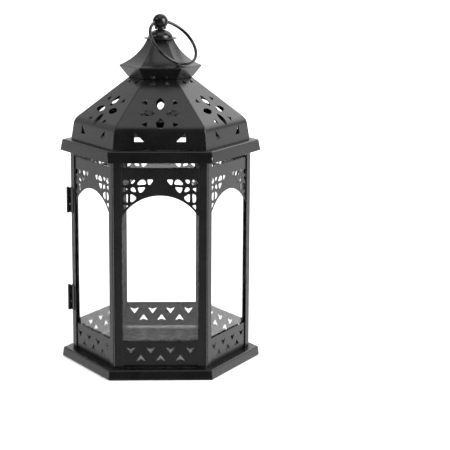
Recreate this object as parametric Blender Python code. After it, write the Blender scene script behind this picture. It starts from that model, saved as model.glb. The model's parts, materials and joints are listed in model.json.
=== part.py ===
"""A hexagonal pierced-metal candle lantern with a hinged door and a swinging ring handle.

Frame: +Z up, origin under the middle of the base, front face towards -Y.
The six corners lie at 0, 60 ... 300 degrees round +Z, so the front face's normal is at 270 degrees.
"""
import math

import bmesh
import bpy
from mathutils import Matrix, Vector

MM = 0.001
GAP = 0.3 * MM                      # play kept between neighbouring pieces
COS30 = math.cos(math.radians(30))

# Base tray: a pressed hexagonal tray, open underneath, with its edge folded in
BASE_HEIGHT = 12.8 * MM
BASE_FOOT_RADIUS = 128.5 * MM       # across-corner radius at the floor
BASE_TOP_RADIUS = 126.5 * MM
TRAY_SHEET = 1.2 * MM
BASE_HEM = 6 * MM
BASE_PANEL = 8 * MM                 # apothem of the middle facet that closes the tray's top
EDGE_DROP = 1.2 * MM                # a folded tray's top edge is chamfered by this much down
EDGE_INSET = 1 * MM                 # and this much in
EDGE_FLARE = 0.2 * MM               # its side starts this far outside the top's outline

# Cornice: a ring tray turned down over the tops of the posts
CORNICE_TOP = 285.3 * MM
CORNICE_BOTTOM = 271.3 * MM
CORNICE_TOP_RADIUS = 124.5 * MM
CORNICE_BOTTOM_RADIUS = 127.5 * MM
CORNICE_OPENING_RADIUS = 88 * MM

# Corner posts: strips folded to 120 degrees
POST_RADIUS = 115 * MM              # axis to the unrounded corner
POST_FLANGE = 11 * MM
POST_SHEET = 1 * MM
POST_BEND = 5 * MM                  # outer radius of the fold
BODY_APOTHEM = POST_RADIUS * COS30  # axis to a flange's outer face

# Pierced plates, held behind the post flanges
PLATE_SHEET = 1 * MM
PLATE_HALF_WIDTH = 52 * MM
PLATE_APOTHEM = BODY_APOTHEM - POST_SHEET - GAP
PLATE_TOP = 264 * MM
PLATE_BOTTOM = 16.4 * MM
SPANDREL_BOTTOM = 204.5 * MM
ARCH_TOP = 229.8 * MM
ARCH_HALF_WIDTH = 46 * MM
ARCH_STEPS = 12
SILL_TOP = 47.3 * MM

# Glass and the channels it slides in
GLASS_THICKNESS = 2 * MM
CHANNEL_DEPTH = 4.2 * MM
CHANNEL_SLOT = 2.6 * MM
CHANNEL_WEB = 1 * MM
CHANNEL_BOTTOM = 17.2 * MM
CHANNEL_FLOOR = 20.6 * MM           # top of the channel's bottom legs
CHANNEL_TOP = 256 * MM
FRAME_HALF_WIDTH = 51 * MM
FRAME_HALF_OPENING = 46.4 * MM
PANE_PLAY = 0.5 * MM                # between a pane's side and its channel's web
PANE_DROP = 2 * MM                  # from the channels' tops down to the pane's

# Door: one plate over the post flanges of the left back face
DOOR_SHEET = 1 * MM
DOOR_HALF_WIDTH = 53.5 * MM
DOOR_HALF_WINDOW = 43.6 * MM
DOOR_SPRING = SPANDREL_BOTTOM + 1 * MM  # top of the door window's straight sides
DOOR_APOTHEM = BODY_APOTHEM + GAP + DOOR_SHEET
DOOR_FRAME_HALF_WIDTH = 45.6 * MM
DOOR_FRAME_HALF_OPENING = 42.4 * MM
DOOR_NORMAL = 150

# Pierced motifs
ROSETTE_CENTRE = (-37.9, 240.5)     # millimetres, across and up the face
CHEVRON_PITCH = 24.5 * MM
CHEVRON_HALF_WIDTH = 6.1 * MM
CHEVRON_HEIGHT = 8.4 * MM
CHEVRON_NOTCH = 2.5 * MM
UPPER_CHEVRON_TOP = 39.6 * MM
LOWER_CHEVRON_BOTTOM = 21.3 * MM

# Roof: six pierced slopes that bend down into a skirt
ROOF_SHEET = 1 * MM
ROOF_TOP = (30.2 * MM, 367.9 * MM)     # apothem, height
ROOF_CORNER = (94.5 * MM, 311.2 * MM)  # where slope and skirt would meet
ROOF_FOOT = (98.1 * MM, CORNICE_TOP + GAP)
ROOF_BEND = 16 * MM
FLOWER_DOWN_SLOPE = 61.5 * MM          # from the roof's top edge to the flower's centre
PETAL_START = 6.3 * MM
PETAL_LENGTH = 19.2 * MM
PETAL_WIDTH = 10 * MM
DART_TIP = (23 * MM, 17.2 * MM)        # a flower's dart: its corners across and along from the centre
DART_NEAR = (15.6 * MM, 14 * MM)
DART_FAR = (16.2 * MM, 21.6 * MM)
TOP_DART_BASE = 14.5 * MM              # down the slope to the base of a top dart
TOP_DART_HEIGHT = 6.6 * MM
TOP_DART_ACROSS = (4.7 * MM, 8.8 * MM, 12.9 * MM)
SKIRT_HOLE_LEVELS = (295.4 * MM, 306.6 * MM)
SKIRT_HOLE_ACROSS = (19.5 * MM, 31 * MM)
SLOPE_CUT = 7 * MM                     # how far the cutters pass either side of a slope
SKIRT_CUT = (85 * MM, 105 * MM)        # apothems between which the skirt's cutters run

# Cap: a flared hexagonal bell on an inverted collar
COLLAR_FOOT = (35.4 * MM, 364.6 * MM)
COLLAR_TOP = (44.6 * MM, 377.8 * MM)
CAP_LIP = (45 * MM, 379.2 * MM)
CAP_TOP = (14.6 * MM, 411.9 * MM)
CAP_ARC = 58 * MM
CAP_SHEET = 0.9 * MM
COLLAR_WALL = 1.08 * MM             # level thickness of the collar's slanted sheet
NUT_APOTHEM = 4 * MM
NUT_HEIGHT = 3.6 * MM

# Finial: flange disc, dome and drilled ball on a stud
STUD_RADIUS = 2 * MM
STUD_CHAMFER = 0.7 * MM
STUD_HOLE = 2.5 * MM
STUD_BOTTOM = 404 * MM
STUD_TOP = 428.6 * MM
DISC_RADIUS = 21 * MM
DISC_BOTTOM = CAP_TOP[1] + GAP
DISC_THICKNESS = 1 * MM
DOME_RADIUS = 15.4 * MM
DOME_BOTTOM = DISC_BOTTOM + DISC_THICKNESS + GAP
DOME_TOP = 423.6 * MM
DOME_SHEET = 1 * MM
DOME_MOUTH = 3.5 * MM               # radius of the dome's open top, before its sheet is taken off
BEAD_RADIUS = 7.3 * MM
BEAD_HEIGHT = 425.8 * MM
BALL_RADIUS = 9.7 * MM
BALL_HEIGHT = 433.2 * MM
BORE_TIP = (0.8 * MM, 0.8 * MM)     # radius of the bore's end, and its height over the stud
BORE_TAPER = 1 * MM
CROSS_HOLE = 2.85 * MM

# Ring handle, leaning on the cap towards the front right
RING_RADIUS = 33.8 * MM
RING_WIRE = 1.95 * MM
RING_AZIMUTH = math.radians(46.5)   # of the cross hole's axis
RING_DROP = math.radians(48.1)      # of the ring's far side below the level
RING_SETTLE = 0.65 * MM             # the curved wire sits this far through the straight hole

# Door hinges, on the left corner
HINGE_HEIGHT = 32 * MM
HINGE_MIDDLES = (79 * MM, 206.8 * MM)
LEAF_SHEET = 0.7 * MM
LEAF_REACH = 10.6 * MM
LEAF_START = 2.8 * MM
KNUCKLE_RADIUS = 2.2 * MM
KNUCKLE_BORE = 1.15 * MM
KNUCKLE_SPLITS = (10.5 * MM, 21.5 * MM)
PIN_RADIUS = 0.85 * MM
PIN_HEAD = 0.8 * MM
PIN_HEAD_RADIUS = 1.9 * MM
PIN_CROWN = 0.76 * MM               # radius of the head's flat end
KNUCKLE_PLAY = 0.2 * MM             # between a knuckle's end and the split
LEAF_LEVEL = -(KNUCKLE_BORE + LEAF_SHEET / 2)   # leaf's middle plane, seen from the pin's axis
HINGE_FROM_DOOR = DOOR_APOTHEM + GAP + LEAF_SHEET / 2 - LEAF_LEVEL
HINGE_FROM_POST = BODY_APOTHEM + GAP + LEAF_SHEET / 2 - LEAF_LEVEL
HINGE_X = -(HINGE_FROM_DOOR + HINGE_FROM_POST) / (2 * COS30)
HINGE_Y = HINGE_FROM_DOOR - HINGE_FROM_POST

# Door latch, on the back left corner
LATCH_HEIGHT = 138 * MM
LATCH_PIVOT = -44 * MM              # across the door from its middle
LATCH_WIRE = 1 * MM
LATCH_HALF_HEIGHT = 5.6 * MM
LATCH_REACH = 17.4 * MM
LATCH_TURN = 2 * MM                 # radius of the wire's corners
LATCH_APOTHEM = DOOR_APOTHEM + GAP + LEAF_SHEET + 2 * MM
BRACKET_ACROSS = (-2.6 * MM, 6 * MM)   # the strap's ends from the pivot
BRACKET_HALF_HEIGHT = 7 * MM
BARREL_RADIUS = 2.3 * MM
BARREL_BORE = 1.4 * MM
BARREL_HALF_HEIGHT = 3.2 * MM
KEEPER_HALF_HEIGHT = 3 * MM
KEEPER_SHEET = 0.8 * MM
KEEPER_TAB = 7 * MM
KEEPER_START = -47.5 * MM           # across the back face, on its flange
KEEPER_BEND = -58.5 * MM

POSTS = {"right": 0, "back_right": 60, "back_left": 120, "left": 180, "front_left": 240, "front_right": 300}
FIXED_FACES = {"front": 270, "right_front": 330, "right_back": 30, "back": 90, "left_front": 210}


def clear_scene():
    for obj in list(bpy.data.objects):
        bpy.data.objects.remove(obj, do_unlink=True)


def paint(name, colour, roughness, metallic=0.0, alpha=1.0):
    mat = bpy.data.materials.new(name)
    mat.use_nodes = True
    shader = mat.node_tree.nodes["Principled BSDF"]
    shader.inputs["Base Color"].default_value = (*colour, 1)
    shader.inputs["Roughness"].default_value = roughness
    shader.inputs["Metallic"].default_value = metallic
    shader.inputs["Alpha"].default_value = alpha
    return mat


def link(obj, mat):
    bpy.context.scene.collection.objects.link(obj)
    obj.data.materials.append(mat)
    return obj


def mesh_object(name, points, faces, mat):
    mesh = bpy.data.meshes.new(name)
    mesh.from_pydata([tuple(p) for p in points], [], faces)
    mesh.update()
    return link(bpy.data.objects.new(name, mesh), mat)


def hide_cutter(obj):
    obj.hide_render = True
    obj.display_type = "WIRE"
    return obj


def boolean(obj, cutter, operation="DIFFERENCE"):
    change = obj.modifiers.new(operation.lower(), "BOOLEAN")
    change.operation = operation
    change.solver = "EXACT"
    change.object = hide_cutter(cutter)


def face_matrix(normal_degrees, apothem=0.0):
    """Local x runs across the face, local y up it, and local z out of it."""
    angle = math.radians(normal_degrees)
    out = Vector((math.cos(angle), math.sin(angle), 0))
    across = Vector((-math.sin(angle), math.cos(angle), 0))
    turn = Matrix((across, Vector((0, 0, 1)), out)).transposed().to_4x4()
    return Matrix.Translation(out * apothem) @ turn


def loft(rings, closed):
    """Faces that join equal rings of points, capped at both ends unless the rings close on themselves."""
    count = len(rings[0])
    points = [p for ring in rings for p in ring]
    faces = []
    last = len(rings) if closed else len(rings) - 1
    for k in range(last):
        low = k * count
        high = ((k + 1) % len(rings)) * count
        for i in range(count):
            j = (i + 1) % count
            faces.append((low + i, low + j, high + j, high + i))
    if not closed:
        faces.append(tuple(reversed(range(count))))
        faces.append(tuple(range((len(rings) - 1) * count, len(rings) * count)))
    return points, faces


def hexagon(apothem, height):
    radius = apothem / COS30
    corners = [math.radians(60 * i) for i in range(6)]
    return [(radius * math.cos(c), radius * math.sin(c), height) for c in corners]


def hex_piece(name, profile, mat, closed=True):
    """A profile of (apothem, height) points, counter-clockwise seen with +apothem to the right."""
    points, faces = loft([hexagon(a, z) for a, z in profile], closed)
    return mesh_object(name, points, faces, mat)


def turned_piece(name, profile, mat, segments=24, closed=True):
    """A profile of (radius, height) points turned round the Z axis, counter-clockwise as in hex_piece."""
    turns = [math.tau * i / segments for i in range(segments)]
    rings = [[(r * math.cos(t), r * math.sin(t), z) for t in turns] for r, z in profile]
    points, faces = loft(rings, closed)
    obj = mesh_object(name, points, faces, mat)
    obj.data.shade_smooth()
    obj.data.set_sharp_from_angle(angle=math.radians(40))
    return obj


def prism(name, outline, low, high, mat, matrix=None):
    """A counter-clockwise outline raised from low to high along local z."""
    points, faces = loft([[(x, y, low) for x, y in outline], [(x, y, high) for x, y in outline]], False)
    obj = mesh_object(name, points, faces, mat)
    if matrix is not None:
        obj.matrix_world = matrix
    return obj


def arc(centre, radius, start, end, steps):
    angles = [math.radians(start + (end - start) * k / steps) for k in range(steps + 1)]
    return [(centre[0] + radius * math.cos(a), centre[1] + radius * math.sin(a)) for a in angles]


def rectangle(left, right, low, high):
    return [(left, low), (right, low), (right, high), (left, high)]


def circle(centre, radius, steps):
    return arc(centre, radius, 0, 360, steps)[:-1]


def bend_between(start, corner, end, radius, steps):
    """The points of a round bend that replaces the corner of a profile."""
    before = (Vector(start) - Vector(corner)).normalized()
    after = (Vector(end) - Vector(corner)).normalized()
    half = before.angle(after) / 2
    middle = Vector(corner) + (before + after).normalized() * radius / math.sin(half)
    first = Vector(corner) + before * radius / math.tan(half)
    last = Vector(corner) + after * radius / math.tan(half)
    return arc_through(middle, first, last, steps)


def arc_through(middle, first, last, steps):
    """Points on the shorter arc from first to last, round the middle."""
    start = first - middle
    spokes = (start.normalized(), (last - middle).normalized())
    turns = [spokes[0].slerp(spokes[1], k / steps) * start.length for k in range(steps + 1)]
    return [tuple(middle + turn) for turn in turns]


def inset_profile(profile, distance):
    """The same open profile, moved to its left by a sheet's thickness."""
    moved = []
    for k, point in enumerate(profile):
        before = Vector(profile[max(k - 1, 0)])
        after = Vector(profile[min(k + 1, len(profile) - 1)])
        run = (after - before).normalized()
        moved.append((point[0] - run.y * distance, point[1] + run.x * distance))
    return moved


def plate(name, outline, holes, thickness, normal_degrees, apothem, mat):
    """A stamped sheet, whose outer face is at the apothem."""
    curve = bpy.data.curves.new(name, "CURVE")
    curve.dimensions = "2D"
    curve.fill_mode = "BOTH"
    curve.extrude = thickness / 2
    for line in [outline, *holes]:
        spline = curve.splines.new("POLY")
        spline.points.add(len(line) - 1)
        spline.points.foreach_set("co", [c for x, y in line for c in (x, y, 0, 1)])
        spline.use_cyclic_u = True
    obj = link(bpy.data.objects.new(name, curve), mat)
    obj.matrix_world = face_matrix(normal_degrees, apothem - thickness / 2)
    return obj


# ---- pierced motifs ----

def rosette_holes():
    """The cut-outs of the left spandrel, in millimetres from the rosette's centre."""
    return [
        arc((-3.8, 5.5), 3.5, 0, 300, 5),
        [(1.2, 8.8), (3.7, 3.1), (8.7, 8.8)],
        [(9, 2.5), (20.5, 3.4), (20.2, 6.4), (16.8, 9), (13.5, 7.9)],
        [(22.6, 9), (23.5, 3.1), (25.8, 2.9), (29.1, 7.5), (29.1, 9)],
        [(-6.8, -0.3), (-6.8, -7.2), (-1.3, -2.2)],
        [(4.5, -0.3), (2.1, -2.4), (3.1, -4.4), (9.6, -7.2), (6.6, -1.1)],
        [(10.8, -0.8), (12.7, -6), (14.2, -7), (16.7, -5.4), (19.5, -0.3)],
        [(-1.3, -8.1), (-5.2, -10.2), (-6.7, -13.5), (-6.4, -16.3), (-4, -18.9), (-1.8, -18.9)],
        [(2.1, -9), (2.1, -18.3), (4.5, -18.1), (7.6, -15.5), (8.8, -12.7), (3.9, -9.3)],
        [(-6.2, -22.1), (-6.2, -29), (-1, -22.9)],
    ]


def spandrel_holes():
    """Both rosettes, mirrored about the middle of the face."""
    holes = []
    for outline in rosette_holes():
        line = [(MM * (ROSETTE_CENTRE[0] + x), MM * (ROSETTE_CENTRE[1] + y)) for x, y in outline]
        holes.append(line)
        holes.append([(-x, y) for x, y in reversed(line)])
    return holes


def chevron(across, point_height, direction):
    """A notched arrowhead whose point is at point_height; direction is +1 for up and -1 for down."""
    wing = point_height - direction * CHEVRON_HEIGHT
    notch = wing + direction * CHEVRON_NOTCH
    left = across - CHEVRON_HALF_WIDTH
    right = across + CHEVRON_HALF_WIDTH
    return [(left, wing), (across, notch), (right, wing), (across, point_height)]


def chevron_holes():
    down = [(k - 1.5) * CHEVRON_PITCH for k in range(4)]
    up = [(k - 1) * CHEVRON_PITCH for k in range(3)]
    holes = [chevron(x, UPPER_CHEVRON_TOP - CHEVRON_HEIGHT, -1) for x in down]
    holes += [chevron(x, LOWER_CHEVRON_BOTTOM + CHEVRON_HEIGHT, 1) for x in up]
    return holes


def arch(half_width, steps):
    """A segmental arch from right to left, rising from the spring line to ARCH_TOP."""
    rise = ARCH_TOP - SPANDREL_BOTTOM
    radius = (half_width ** 2 + rise ** 2) / (2 * rise)
    lean = math.degrees(math.asin(half_width / radius))
    return arc((0, ARCH_TOP - radius), radius, 90 - lean, 90 + lean, steps)


# ---- body ----

def base_tray(mat):
    foot = BASE_FOOT_RADIUS * COS30
    top = BASE_TOP_RADIUS * COS30
    inner_top = BASE_HEIGHT - TRAY_SHEET
    profile = [
        (BASE_PANEL, inner_top),
        (top - TRAY_SHEET, inner_top),
        (foot - TRAY_SHEET, TRAY_SHEET),
        (foot - BASE_HEM, TRAY_SHEET),
        (foot - BASE_HEM, 0),
        (foot, 0),
        (top + EDGE_FLARE, BASE_HEIGHT - EDGE_DROP),
        (top - EDGE_INSET, BASE_HEIGHT),
        (BASE_PANEL, BASE_HEIGHT),
    ]
    hex_piece("base_tray", profile, mat, closed=False)


def corner_post(name, degrees, mat):
    centre = (POST_RADIUS - POST_BEND / COS30, 0)
    outer = arc(centre, POST_BEND, -30, 30, 4)
    inner = arc(centre, POST_BEND - POST_SHEET, 30, -30, 4)
    corner = Vector((POST_RADIUS, 0))
    along = Vector((-0.5, COS30))
    out = Vector((COS30, 0.5))
    end = corner + along * POST_FLANGE
    end_inner = end - out * POST_SHEET
    outline = outer + [tuple(end), tuple(end_inner)] + inner
    outline += [(end_inner.x, -end_inner.y), (end.x, -end.y)]
    low = BASE_HEIGHT + GAP
    high = CORNICE_TOP - TRAY_SHEET - GAP
    prism(f"post_{name}", outline, low, high, mat, Matrix.Rotation(math.radians(degrees), 4, "Z"))


def cornice_ring(mat):
    top = CORNICE_TOP_RADIUS * COS30
    bottom = CORNICE_BOTTOM_RADIUS * COS30
    opening = CORNICE_OPENING_RADIUS * COS30
    profile = [
        (opening, CORNICE_TOP - TRAY_SHEET),
        (top - TRAY_SHEET, CORNICE_TOP - TRAY_SHEET),
        (bottom - TRAY_SHEET, CORNICE_BOTTOM),
        (bottom, CORNICE_BOTTOM),
        (top + EDGE_FLARE, CORNICE_TOP - EDGE_DROP),
        (top - EDGE_INSET, CORNICE_TOP),
        (opening, CORNICE_TOP),
    ]
    hex_piece("cornice_ring", profile, mat)


def spandrel_plate(name, degrees, mat):
    foot = PLATE_HALF_WIDTH
    outline = [(foot, SPANDREL_BOTTOM), (foot, PLATE_TOP), (-foot, PLATE_TOP), (-foot, SPANDREL_BOTTOM)]
    outline += reversed(arch(ARCH_HALF_WIDTH, ARCH_STEPS))
    plate(f"spandrel_{name}", outline, spandrel_holes(), PLATE_SHEET, degrees, PLATE_APOTHEM, mat)


def sill_plate(name, degrees, mat):
    outline = rectangle(-PLATE_HALF_WIDTH, PLATE_HALF_WIDTH, PLATE_BOTTOM, SILL_TOP)
    plate(f"sill_{name}", outline, chevron_holes(), PLATE_SHEET, degrees, PLATE_APOTHEM, mat)


def glass_frame(name, degrees, front, half_width, half_opening, mat):
    """Two upright channels and a bottom channel, folded from one strip."""
    outline = [
        (-half_width, CHANNEL_BOTTOM),
        (half_width, CHANNEL_BOTTOM),
        (half_width, CHANNEL_TOP),
        (half_opening, CHANNEL_TOP),
        (half_opening, CHANNEL_FLOOR),
        (-half_opening, CHANNEL_FLOOR),
        (-half_opening, CHANNEL_TOP),
        (-half_width, CHANNEL_TOP),
    ]
    place = face_matrix(degrees, front - CHANNEL_DEPTH)
    frame = prism(name, outline, 0, CHANNEL_DEPTH, mat, place)
    side = half_width - CHANNEL_WEB
    past_top = CHANNEL_TOP + CHANNEL_WEB
    slot_outline = rectangle(-side, side, CHANNEL_BOTTOM + CHANNEL_WEB, past_top)
    leg = (CHANNEL_DEPTH - CHANNEL_SLOT) / 2
    slot = prism(f"{name}_slot", slot_outline, leg, CHANNEL_DEPTH - leg, mat, place)
    boolean(frame, slot)


def glass_pane(name, degrees, front, half_width, mat):
    """A pane centred in its channels, whose frame starts at the apothem called front."""
    side = half_width - CHANNEL_WEB - PANE_PLAY
    outline = rectangle(-side, side, CHANNEL_BOTTOM + CHANNEL_WEB + GAP, CHANNEL_TOP - PANE_DROP)
    low = front - (CHANNEL_DEPTH + GLASS_THICKNESS) / 2
    prism(name, outline, 0, GLASS_THICKNESS, mat, face_matrix(degrees, low))


def fixed_face(name, degrees, body, hardware, glass):
    front = PLATE_APOTHEM - PLATE_SHEET - GAP
    spandrel_plate(name, degrees, body)
    sill_plate(name, degrees, body)
    glass_frame(f"glass_frame_{name}", degrees, front, FRAME_HALF_WIDTH, FRAME_HALF_OPENING, hardware)
    glass_pane(f"glass_{name}", degrees, front, FRAME_HALF_WIDTH, glass)


# ---- door, hinges and latch ----

def door(body, hardware, glass):
    side = DOOR_HALF_WINDOW
    window = [(side, SILL_TOP), (side, DOOR_SPRING)]
    window += arch(side, ARCH_STEPS)[1:-1]
    window += [(-side, DOOR_SPRING), (-side, SILL_TOP)]
    outline = rectangle(-DOOR_HALF_WIDTH, DOOR_HALF_WIDTH, PLATE_BOTTOM, PLATE_TOP)
    holes = [window, *spandrel_holes(), *chevron_holes()]
    plate("door_panel", outline, holes, DOOR_SHEET, DOOR_NORMAL, DOOR_APOTHEM, body)
    front = DOOR_APOTHEM - DOOR_SHEET - GAP
    width = DOOR_FRAME_HALF_WIDTH
    glass_frame("door_glass_frame", DOOR_NORMAL, front, width, DOOR_FRAME_HALF_OPENING, hardware)
    glass_pane("door_glass", DOOR_NORMAL, front, width, glass)


def hinge_leaf(name, middle, side, knuckles, mat):
    """A leaf that lies along one face; side is +1 on the door's face and -1 on the left front face."""
    low = middle - HINGE_HEIGHT / 2
    along = Vector((0.5, side * COS30, 0))
    out = Vector((-COS30, side * 0.5, 0))
    place = Matrix((along, out, Vector((0, 0, side)))).transposed().to_4x4()
    place.translation = Vector((HINGE_X, HINGE_Y, 0))

    def block(label, start, end, bottom, top):
        outline = rectangle(start, end, LEAF_LEVEL - LEAF_SHEET / 2, LEAF_LEVEL + LEAF_SHEET / 2)
        heights = sorted((bottom * side, top * side))
        return prism(label, outline, *heights, mat, place)

    def rod(label, radius, steps, bottom, top):
        return prism(label, circle((HINGE_X, HINGE_Y), radius, steps), bottom, top, mat)

    overlap = LEAF_START + LEAF_SHEET
    leaf = block(name, LEAF_START, LEAF_REACH, low, low + HINGE_HEIGHT)
    for k, (start, end) in enumerate(knuckles):
        boolean(leaf, block(f"{name}_tab{k}", 0, overlap, low + start, low + end), "UNION")
        boolean(leaf, rod(f"{name}_barrel{k}", KNUCKLE_RADIUS, 16, low + start, low + end), "UNION")
    boolean(leaf, rod(f"{name}_bore", KNUCKLE_BORE, 12, low - LEAF_START, low + HINGE_HEIGHT + LEAF_START))


def hinge_pin(name, middle, mat):
    half = HINGE_HEIGHT / 2 + GAP
    profile = [
        (PIN_CROWN, middle - half - PIN_HEAD),
        (PIN_HEAD_RADIUS, middle - half - PIN_HEAD / 2),
        (PIN_HEAD_RADIUS, middle - half),
        (PIN_RADIUS, middle - half),
        (PIN_RADIUS, middle + half),
        (PIN_HEAD_RADIUS, middle + half),
        (PIN_HEAD_RADIUS, middle + half + PIN_HEAD / 2),
        (PIN_CROWN, middle + half + PIN_HEAD),
    ]
    pin = turned_piece(name, profile, mat, segments=12, closed=False)
    pin.location = (HINGE_X, HINGE_Y, 0)


def door_hinges(mat):
    first, second = KNUCKLE_SPLITS
    outer = [(0, first - KNUCKLE_PLAY), (second + KNUCKLE_PLAY, HINGE_HEIGHT)]
    inner = [(first + KNUCKLE_PLAY, second - KNUCKLE_PLAY)]
    for label, middle in zip(("lower", "upper"), HINGE_MIDDLES):
        hinge_leaf(f"hinge_{label}_post_leaf", middle, -1, outer, mat)
        hinge_leaf(f"hinge_{label}_door_leaf", middle, 1, inner, mat)
        hinge_pin(f"hinge_{label}_pin", middle, mat)


def latch_bracket(mat):
    place = face_matrix(DOOR_NORMAL)
    low = DOOR_APOTHEM + GAP
    left, right = (LATCH_PIVOT + end for end in BRACKET_ACROSS)
    half = BRACKET_HALF_HEIGHT
    outline = rectangle(left, right, LATCH_HEIGHT - half, LATCH_HEIGHT + half)
    bracket = prism("latch_bracket", outline, low, low + LEAF_SHEET, mat, place)
    upright = place @ Matrix.Rotation(math.radians(-90), 4, "X")

    def rod(label, radius, steps, reach):
        outline = circle((LATCH_PIVOT, -LATCH_APOTHEM), radius, steps)
        return prism(label, outline, LATCH_HEIGHT - reach, LATCH_HEIGHT + reach, mat, upright)

    boolean(bracket, rod("latch_barrel", BARREL_RADIUS, 16, BARREL_HALF_HEIGHT), "UNION")
    boolean(bracket, rod("latch_bore", BARREL_BORE, 12, half))


def latch_loop(mat):
    near = LATCH_PIVOT
    far = LATCH_PIVOT - LATCH_REACH
    turn = LATCH_TURN
    steps = 3
    top = LATCH_HEIGHT + LATCH_HALF_HEIGHT
    bottom = LATCH_HEIGHT - LATCH_HALF_HEIGHT
    path = arc((near - turn, top - turn), turn, 0, 90, steps)
    path += arc((far + turn, top - turn), turn, 90, 180, steps)
    path += arc((far + turn, bottom + turn), turn, 180, 270, steps)
    path += arc((near - turn, bottom + turn), turn, 270, 360, steps)
    curve = bpy.data.curves.new("latch_loop", "CURVE")
    curve.dimensions = "3D"
    curve.bevel_depth = LATCH_WIRE
    curve.bevel_resolution = 2
    spline = curve.splines.new("POLY")
    spline.points.add(len(path) - 1)
    spline.points.foreach_set("co", [c for x, y in path for c in (x - near, y - LATCH_HEIGHT, 0, 1)])
    spline.use_cyclic_u = True
    loop = link(bpy.data.objects.new("latch_loop", curve), mat)
    loop.matrix_world = face_matrix(DOOR_NORMAL) @ Matrix.Translation((near, LATCH_HEIGHT, LATCH_APOTHEM))


def latch_keeper(mat):
    """A strip on the back face's flange, bent out past the corner to stand square to the door."""
    level = BODY_APOTHEM + GAP + KEEPER_SHEET / 2
    start = Vector((KEEPER_START, level))
    bend = Vector((KEEPER_BEND, level))
    angle = math.radians(DOOR_NORMAL)
    tip = bend + Vector((math.cos(angle), math.sin(angle))) * KEEPER_TAB
    half = KEEPER_SHEET / 2
    below = Vector((0, -half))
    beside = Vector((-math.sin(angle), math.cos(angle))) * half
    mitre = (below + beside) / (1 + below.dot(beside) / half ** 2)
    outline = [start - below, bend - mitre, tip - beside, tip + beside, bend + mitre, start + below]
    points = [tuple(p) for p in outline]
    prism("latch_keeper", points, LATCH_HEIGHT - KEEPER_HALF_HEIGHT, LATCH_HEIGHT + KEEPER_HALF_HEIGHT, mat)


# ---- roof, cap, finial and ring ----

def roof_profile():
    bend = bend_between(ROOF_TOP, ROOF_CORNER, ROOF_FOOT, ROOF_BEND, 3)
    return [ROOF_TOP, *bend, ROOF_FOOT]


def slope_matrix(degrees):
    """Local x across a slope, local y down it from the top edge, and local z square to it."""
    run = Vector((ROOF_CORNER[0] - ROOF_TOP[0], ROOF_CORNER[1] - ROOF_TOP[1])).normalized()
    down = Vector((0, run.y, run.x))
    square = Vector((1, 0, 0)).cross(down)
    local = Matrix((Vector((1, 0, 0)), down, square)).transposed().to_4x4()
    local.translation = Vector((0, ROOF_TOP[1], ROOF_TOP[0]))
    return face_matrix(degrees) @ local


def petal(centre, direction_degrees, steps=4):
    """A pointed oval, from two arcs through its tips."""
    half = PETAL_LENGTH / 2
    belly = PETAL_WIDTH / 2
    radius = (half ** 2 + belly ** 2) / (2 * belly)
    lean = math.degrees(math.asin(half / radius))
    side = arc((0, belly - radius), radius, 90 + lean, 90 - lean, steps)
    outline = side + [(x, -y) for x, y in reversed(side[1:-1])]
    angle = math.radians(direction_degrees)
    cos, sin = math.cos(angle), math.sin(angle)
    return [(centre[0] + x * cos - y * sin, centre[1] + x * sin + y * cos) for x, y in outline]


def slope_holes():
    """Flower, four darts round it and two darts near the top edge."""
    reach = PETAL_START + PETAL_LENGTH / 2
    middle = FLOWER_DOWN_SLOPE
    ways = ((1, 0), (-1, 0), (0, 1), (0, -1))
    holes = [petal((reach * dx, middle + reach * dy), 90 * abs(dy)) for dx, dy in ways]
    near, apex, far = TOP_DART_ACROSS
    for side in (-1, 1):
        for way in (-1, 1):
            holes.append([(side * x, middle + way * y) for x, y in (DART_TIP, DART_NEAR, DART_FAR)])
        peak = (side * apex, TOP_DART_BASE - TOP_DART_HEIGHT)
        holes.append([peak, (side * far, TOP_DART_BASE), (side * near, TOP_DART_BASE)])
    return holes


def skirt_holes():
    """One right-angled triangle to each side, with its upright edge outermost."""
    low, high = SKIRT_HOLE_LEVELS
    near, far = SKIRT_HOLE_ACROSS
    return [[(side * far, low), (side * near, low), (side * far, high)] for side in (-1, 1)]


def counter_clockwise(outline):
    area = sum(a[0] * b[1] - b[0] * a[1] for a, b in zip(outline, outline[1:] + outline[:1]))
    return outline if area > 0 else outline[::-1]


def roof_cutter(mat):
    points = []
    faces = []
    for degrees in range(30, 390, 60):
        groups = (
            (slope_matrix(degrees), slope_holes(), -SLOPE_CUT, SLOPE_CUT),
            (face_matrix(degrees), skirt_holes(), *SKIRT_CUT),
        )
        for matrix, holes, low, high in groups:
            for hole in holes:
                line = counter_clockwise(hole)
                ends = [[matrix @ Vector((x, y, level)) for x, y in line] for level in (low, high)]
                new_points, new_faces = loft(ends, False)
                faces += [tuple(i + len(points) for i in face) for face in new_faces]
                points += new_points
    return mesh_object("roof_cutter", points, faces, mat)


def roof(mat):
    outer = roof_profile()
    inner = inset_profile(outer, -ROOF_SHEET)
    inner[-1] = (inner[-1][0], ROOF_FOOT[1])
    shell = hex_piece("roof", outer[::-1] + inner, mat)
    boolean(shell, roof_cutter(mat))


def collar(mat):
    profile = [
        (COLLAR_FOOT[0] - COLLAR_WALL, COLLAR_FOOT[1]),
        COLLAR_FOOT,
        COLLAR_TOP,
        (COLLAR_TOP[0] - COLLAR_WALL, COLLAR_TOP[1]),
    ]
    hex_piece("cap_collar", profile, mat)


def cap_curve(steps):
    """The cap's outer profile: a hollow arc from the lip up to the top edge."""
    lip, top = Vector(CAP_LIP), Vector(CAP_TOP)
    chord = top - lip
    across = Vector((-chord.y, chord.x)).normalized()
    middle = (lip + top) / 2 - across * math.sqrt(CAP_ARC ** 2 - (chord.length / 2) ** 2)
    return arc_through(middle, lip, top, steps)


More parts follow.
